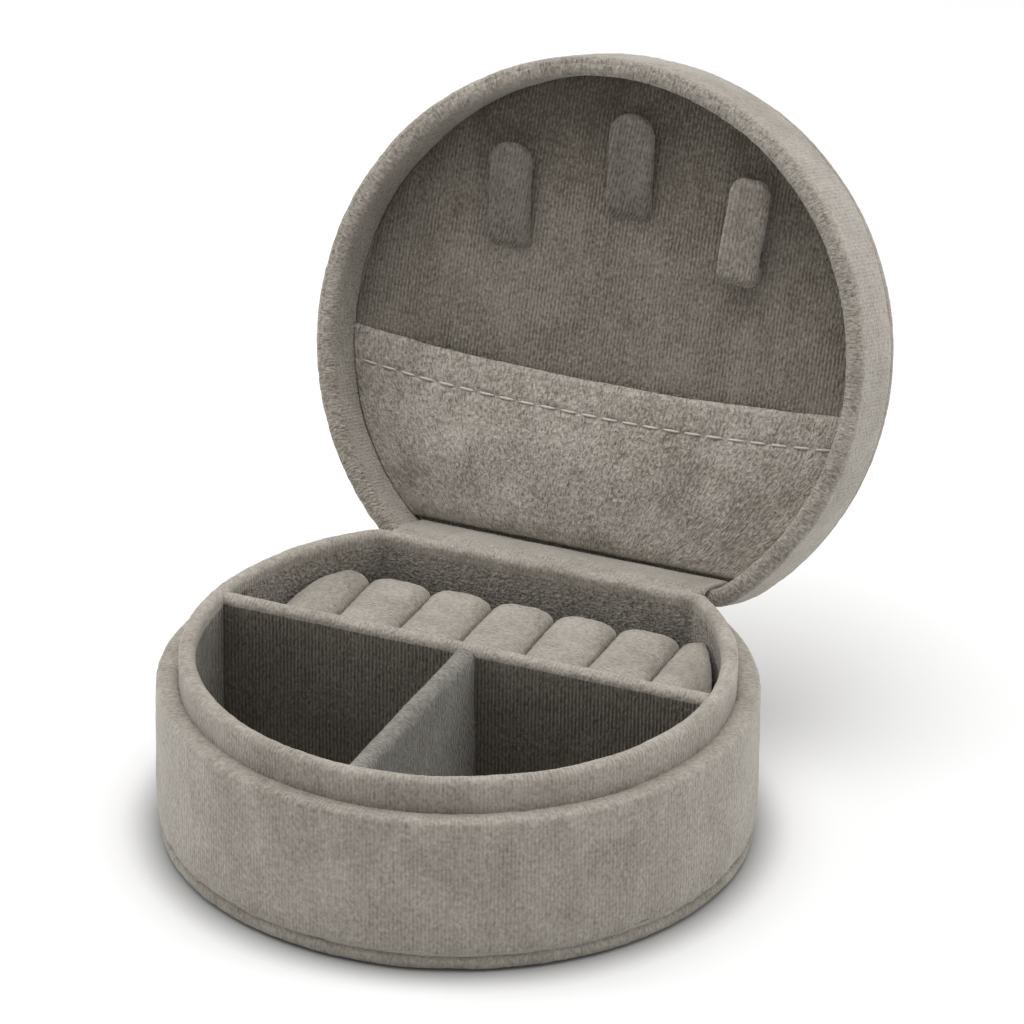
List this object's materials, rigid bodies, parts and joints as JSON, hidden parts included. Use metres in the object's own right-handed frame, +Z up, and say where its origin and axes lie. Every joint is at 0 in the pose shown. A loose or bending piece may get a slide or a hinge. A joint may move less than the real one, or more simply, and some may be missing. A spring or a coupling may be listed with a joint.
{
  "type": "travel jewelry case",
  "caption": "D-shaped velvet travel jewelry case standing open: divided base with ring rolls, hinged lid with necklace hooks and a pocket.",
  "frame": {"origin": "on the floor under the centre of the round front of the base", "axes": "+Z up, +X along the hinge, +Y from the round front towards the hinge"},
  "size_m": [0.12, 0.1629, 0.134],
  "materials": {
    "velvet": "short warm grey pile",
    "velvet_ribbed": "short pile with fine upright ribs",
    "velvet_bottom": "short pile, darker, olive grey",
    "thread": "twisted sewing thread",
    "foam": "open-cell padding",
    "board": "pressed grey board",
    "hinge_steel": "bare pressed steel"
  },
  "bodies": {
    "case_base": {"base_bottom_board": "board", "base_bottom_velvet": "velvet_bottom", "base_hinge_leaf": "hinge_steel", "base_hinge_rivets": "hinge_steel", "base_wall_board": "board", "base_wall_foam": "foam", "base_wall_velvet": "velvet", "floor_board": "board", "floor_velvet": "velvet_ribbed", "hinge_pin": "hinge_steel", "hinge_strip_inner": "velvet", "hinge_strip_outer": "velvet", "liner_board": "board", "liner_velvet": "velvet_ribbed", "long_divider_board": "board", "long_divider_velvet": "velvet_ribbed", "ring_bed_foam": "foam", "ring_roll_1": "velvet", "ring_roll_2": "velvet", "ring_roll_3": "velvet", "ring_roll_4": "velvet", "ring_roll_5": "velvet", "ring_roll_6": "velvet", "ring_roll_7": "velvet", "short_divider_board": "board", "short_divider_velvet": "velvet"},
    "lid": {"lid_crown_board": "board", "lid_crown_foam": "foam", "lid_crown_velvet": "velvet", "lid_hinge_leaf": "hinge_steel", "lid_hinge_rivets": "hinge_steel", "lid_panel_board": "board", "lid_panel_foam": "foam", "lid_panel_velvet": "velvet_ribbed", "lid_pocket": "velvet", "lid_wall_board": "board", "lid_wall_velvet": "velvet", "necklace_hook_centre": "velvet", "necklace_hook_left": "velvet", "necklace_hook_right": "velvet", "pocket_thread": "thread"}
  },
  "joints": [
    {"name": "lid_hinge", "type": "hinge", "parent": "case_base", "child": "lid", "pos_m": [0, 0.0473, 0.03295], "axis": [1, 0, 0], "range_deg": [0, 109], "deforming": ["hinge_strip_outer", "hinge_strip_inner"]}
  ]
}
